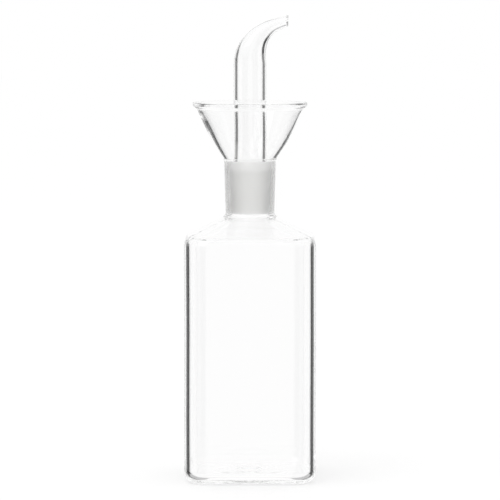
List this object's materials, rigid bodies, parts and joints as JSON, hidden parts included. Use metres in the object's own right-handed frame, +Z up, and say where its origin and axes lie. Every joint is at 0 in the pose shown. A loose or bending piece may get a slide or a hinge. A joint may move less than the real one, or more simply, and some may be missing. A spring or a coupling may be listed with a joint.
{
  "type": "glass oil bottle",
  "caption": "Clear square glass oil bottle with a frosted ground-glass neck, a drip funnel and a lift-out bent pouring spout.",
  "frame": {"origin": "middle of the face that the bottle stands on", "axes": "+Z up along the bottle's axis, +X the way that the spout points, -Y the side seen in the picture"},
  "size_m": [0.07, 0.07, 0.2473],
  "materials": {
    "clear_glass": "fire-polished clear",
    "ground_glass": "ground matt"
  },
  "bodies": {
    "bottle": {"bottle_body": "clear_glass", "neck_socket": "ground_glass", "drip_funnel": "clear_glass"},
    "stopper_plug": {"ground_plug": "ground_glass"},
    "stopper_spout": {"pouring_spout": "clear_glass"}
  },
  "joints": [
    {"name": "stopper_lift", "type": "slide", "parent": "bottle", "child": "stopper_plug", "axis": [0, 0, 1], "range_m": [0, 0.075]},
    {"name": "spout_turn", "type": "hinge", "parent": "stopper_plug", "child": "stopper_spout", "pos_m": [0, 0, 0.16975], "axis": [0, 0, 1], "continuous": true}
  ]
}
